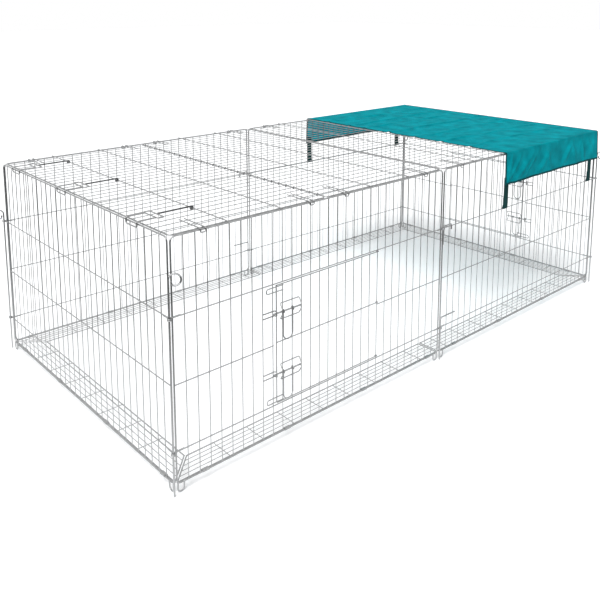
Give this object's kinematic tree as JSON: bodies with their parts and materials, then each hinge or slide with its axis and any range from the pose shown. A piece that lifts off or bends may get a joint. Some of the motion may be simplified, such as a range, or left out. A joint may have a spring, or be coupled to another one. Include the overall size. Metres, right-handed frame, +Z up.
{
  "type": "pet run",
  "caption": "Folding wire pet run with hinged roof flap, side and end doors with slide bolts, digging barrier strips and a cloth sunshade over one end.",
  "frame": {"origin": "centre of the base, on the ground that the run stands on", "axes": "+X along the length towards the sunshade, -Y the front with the door, +Z up"},
  "size_m": [2.385, 1.1938, 0.7394],
  "materials": {
    "zinc": "satin",
    "cloth": "matte",
    "strap": "matte"
  },
  "bodies": {
    "run": {"latch_keepers_end": "zinc", "latch_keepers_front": "zinc", "panel_back_far": "zinc", "panel_back_near": "zinc", "panel_front_far": "zinc", "panel_front_near": "zinc", "panel_left_end": "zinc", "panel_right_end": "zinc", "roof_far": "zinc", "roof_far_clips": "zinc", "roof_fixed_clips": "zinc", "roof_fixed_half": "zinc", "strap_back_far": "strap", "strap_back_near": "strap", "strap_front_far": "strap", "strap_front_near": "strap", "strip_clips_back_far": "zinc", "strip_clips_back_near": "zinc", "strip_clips_front_far": "zinc", "strip_clips_front_near": "zinc", "strip_clips_left_end": "zinc", "strip_clips_right_end": "zinc", "sunshade": "cloth"},
    "roof_flap": {"roof_flap": "zinc", "roof_flap_clips": "zinc"},
    "end_hook_front": {"end_hook_front": "zinc"},
    "end_hook_middle": {"end_hook_middle": "zinc"},
    "end_hook_back": {"end_hook_back": "zinc"},
    "door_front": {"door_front": "zinc", "latch_guides_front": "zinc"},
    "bolt_front_upper": {"bolt_front_upper": "zinc"},
    "handle_front_upper": {"handle_front_upper": "zinc"},
    "bolt_front_lower": {"bolt_front_lower": "zinc"},
    "handle_front_lower": {"handle_front_lower": "zinc"},
    "door_end": {"door_end": "zinc", "latch_guides_end": "zinc"},
    "bolt_end_upper": {"bolt_end_upper": "zinc"},
    "handle_end_upper": {"handle_end_upper": "zinc"},
    "bolt_end_lower": {"bolt_end_lower": "zinc"},
    "handle_end_lower": {"handle_end_lower": "zinc"},
    "strip_front_near": {"strip_front_near": "zinc"},
    "strip_front_far": {"strip_front_far": "zinc"},
    "strip_right_end": {"strip_right_end": "zinc"},
    "strip_back_far": {"strip_back_far": "zinc"},
    "strip_back_near": {"strip_back_near": "zinc"},
    "strip_left_end": {"strip_left_end": "zinc"},
    "rod_front_left": {"rod_front_left": "zinc"},
    "rod_front_right": {"rod_front_right": "zinc"},
    "rod_back_left": {"rod_back_left": "zinc"},
    "rod_back_right": {"rod_back_right": "zinc"},
    "peg_front": {"peg_front": "zinc"},
    "pin_front": {"pin_front": "zinc"},
    "peg_back": {"peg_back": "zinc"},
    "pin_back": {"pin_back": "zinc"}
  },
  "joints": [
    {"name": "roof_flap_hinge", "type": "hinge", "parent": "run", "child": "roof_flap", "pos_m": [-0.575, 0, 0.7289], "axis": [0, 1, 0], "range_deg": [0, 140]},
    {"name": "end_hook_front_hinge", "type": "hinge", "parent": "roof_flap", "child": "end_hook_front", "pos_m": [-0.95833, 0, 0.7324], "axis": [0, 1, 0], "range_deg": [0, 120]},
    {"name": "end_hook_middle_hinge", "type": "hinge", "parent": "roof_flap", "child": "end_hook_middle", "pos_m": [-0.95833, 0, 0.7324], "axis": [0, 1, 0], "range_deg": [0, 120]},
    {"name": "end_hook_back_hinge", "type": "hinge", "parent": "roof_flap", "child": "end_hook_back", "pos_m": [-0.95833, 0, 0.7324], "axis": [0, 1, 0], "range_deg": [0, 120]},
    {"name": "door_front_hinge", "type": "hinge", "parent": "run", "child": "door_front", "pos_m": [-0.3474, -0.575, 0.318], "axis": [0, 0, 1], "range_deg": [0, 165]},
    {"name": "bolt_front_upper_slide", "type": "slide", "parent": "door_front", "child": "bolt_front_upper", "axis": [1, 0, 0], "range_m": [0, 0.024]},
    {"name": "handle_front_upper_hinge", "type": "hinge", "parent": "bolt_front_upper", "child": "handle_front_upper", "pos_m": [-0.7486, -0.58345, 0.419], "axis": [-1, 0, 0], "range_deg": [0, 160]},
    {"name": "bolt_front_lower_slide", "type": "slide", "parent": "door_front", "child": "bolt_front_lower", "axis": [1, 0, 0], "range_m": [0, 0.024]},
    {"name": "handle_front_lower_hinge", "type": "hinge", "parent": "bolt_front_lower", "child": "handle_front_lower", "pos_m": [-0.7486, -0.58345, 0.227], "axis": [-1, 0, 0], "range_deg": [0, 160]},
    {"name": "door_end_hinge", "type": "hinge", "parent": "run", "child": "door_end", "pos_m": [1.15, 0.2276, 0.318], "axis": [0, 0, 1], "range_deg": [0, 165]},
    {"name": "bolt_end_upper_slide", "type": "slide", "parent": "door_end", "child": "bolt_end_upper", "axis": [0, 1, 0], "range_m": [0, 0.024]},
    {"name": "handle_end_upper_hinge", "type": "hinge", "parent": "bolt_end_upper", "child": "handle_end_upper", "pos_m": [1.15845, -0.1736, 0.419], "axis": [0, -1, 0], "range_deg": [0, 160]},
    {"name": "bolt_end_lower_slide", "type": "slide", "parent": "door_end", "child": "bolt_end_lower", "axis": [0, 1, 0], "range_m": [0, 0.024]},
    {"name": "handle_end_lower_hinge", "type": "hinge", "parent": "bolt_end_lower", "child": "handle_end_lower", "pos_m": [1.15845, -0.1736, 0.227], "axis": [0, -1, 0], "range_deg": [0, 160]},
    {"name": "strip_front_near_hinge", "type": "hinge", "parent": "run", "child": "strip_front_near", "pos_m": [-0.575, -0.5695, 0.028], "axis": [1, 0, 0], "range_deg": [0, 90]},
    {"name": "strip_front_far_hinge", "type": "hinge", "parent": "run", "child": "strip_front_far", "pos_m": [0.575, -0.5695, 0.028], "axis": [1, 0, 0], "range_deg": [0, 90]},
    {"name": "strip_right_end_hinge", "type": "hinge", "parent": "run", "child": "strip_right_end", "pos_m": [1.1445, 0, 0.028], "axis": [0, 1, 0], "range_deg": [0, 90]},
    {"name": "strip_back_far_hinge", "type": "hinge", "parent": "run", "child": "strip_back_far", "pos_m": [0.575, 0.5695, 0.028], "axis": [-1, 0, 0], "range_deg": [0, 90]},
    {"name": "strip_back_near_hinge", "type": "hinge", "parent": "run", "child": "strip_back_near", "pos_m": [-0.575, 0.5695, 0.028], "axis": [-1, 0, 0], "range_deg": [0, 90]},
    {"name": "strip_left_end_hinge", "type": "hinge", "parent": "run", "child": "strip_left_end", "pos_m": [-1.1445, 0, 0.028], "axis": [0, -1, 0], "range_deg": [0, 90]},
    {"name": "rod_front_left_slide", "type": "slide", "parent": "run", "child": "rod_front_left", "axis": [0, 0, 1], "range_m": [0, 0.62]},
    {"name": "rod_front_right_slide", "type": "slide", "parent": "run", "child": "rod_front_right", "axis": [0, 0, 1], "range_m": [0, 0.62]},
    {"name": "rod_back_left_slide", "type": "slide", "parent": "run", "child": "rod_back_left", "axis": [0, 0, 1], "range_m": [0, 0.62]},
    {"name": "rod_back_right_slide", "type": "slide", "parent": "run", "child": "rod_back_right", "axis": [0, 0, 1], "range_m": [0, 0.62]},
    {"name": "peg_front_slide", "type": "slide", "parent": "run", "child": "peg_front", "axis": [0, 0, 1], "range_m": [0, 0.14]},
    {"name": "pin_front_slide", "type": "slide", "parent": "run", "child": "pin_front", "axis": [0, 0, 1], "range_m": [0, 0.075]},
    {"name": "peg_back_slide", "type": "slide", "parent": "run", "child": "peg_back", "axis": [0, 0, 1], "range_m": [0, 0.14]},
    {"name": "pin_back_slide", "type": "slide", "parent": "run", "child": "pin_back", "axis": [0, 0, 1], "range_m": [0, 0.075]}
  ]
}
